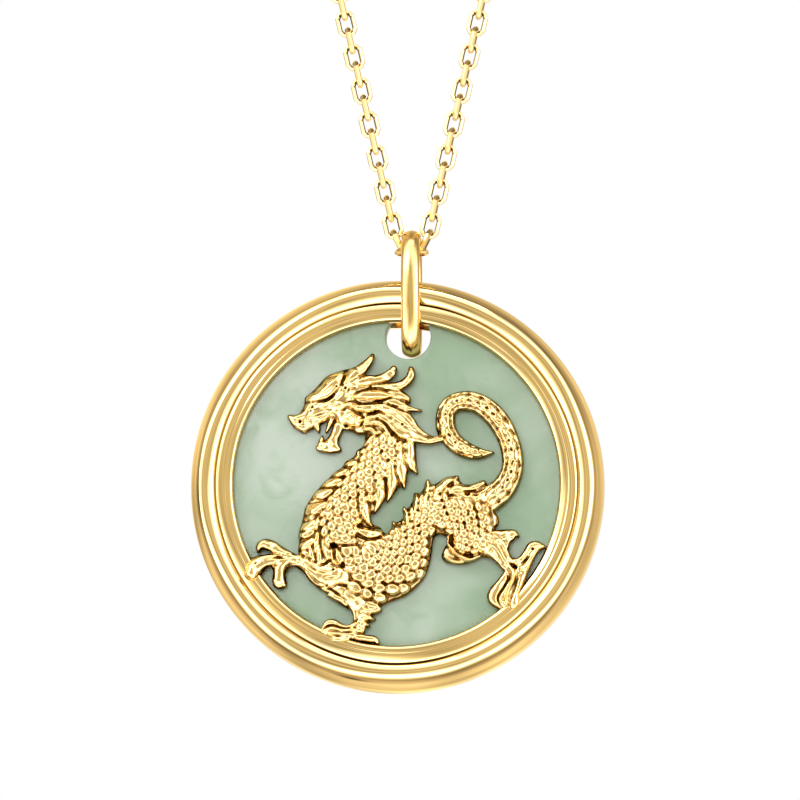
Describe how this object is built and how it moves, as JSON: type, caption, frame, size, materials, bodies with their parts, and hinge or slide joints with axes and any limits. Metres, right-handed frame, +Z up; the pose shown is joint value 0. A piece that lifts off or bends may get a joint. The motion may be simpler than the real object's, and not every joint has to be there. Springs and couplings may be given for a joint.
{
  "type": "dragon pendant necklace",
  "caption": "Round jade pendant in a moulded gold frame with a raised dragon across it, on an oval bail and a fine cable chain with a ring clasp.",
  "frame": {"origin": "the place where the loop of chain hangs, under the clasp at the top of the loop", "axes": "+Z up along the hanging necklace, -Y towards the viewer of the pendant's face, +X to the viewer's right"},
  "size_m": [0.0752, 0.006, 0.24],
  "materials": {
    "pendant_gold": "polished yellow gold, the dragon cast and lightly textured",
    "jade": "polished pale green jade with cloudy patches",
    "bail_gold": "polished yellow gold",
    "chain_gold": "bright cut yellow gold links",
    "clasp_gold": "polished yellow gold"
  },
  "bodies": {
    "chain": {"chain_front": "chain_gold", "chain_back": "chain_gold", "clasp": "clasp_gold", "end_ring": "clasp_gold"},
    "bail": {"bail": "bail_gold"},
    "pendant": {"frame_with_dragon": "pendant_gold", "jade_disc": "jade"}
  },
  "joints": [
    {"name": "bail_swing", "type": "hinge", "parent": "chain", "child": "bail", "pos_m": [0, 0, -0.20081], "axis": [1, 0, 0], "range_deg": [-25, 25]},
    {"name": "pendant_tilt", "type": "hinge", "parent": "bail", "child": "pendant", "pos_m": [0, -0.0002, -0.20579], "axis": [1, 0, 0], "range_deg": [-6, 6]}
  ]
}
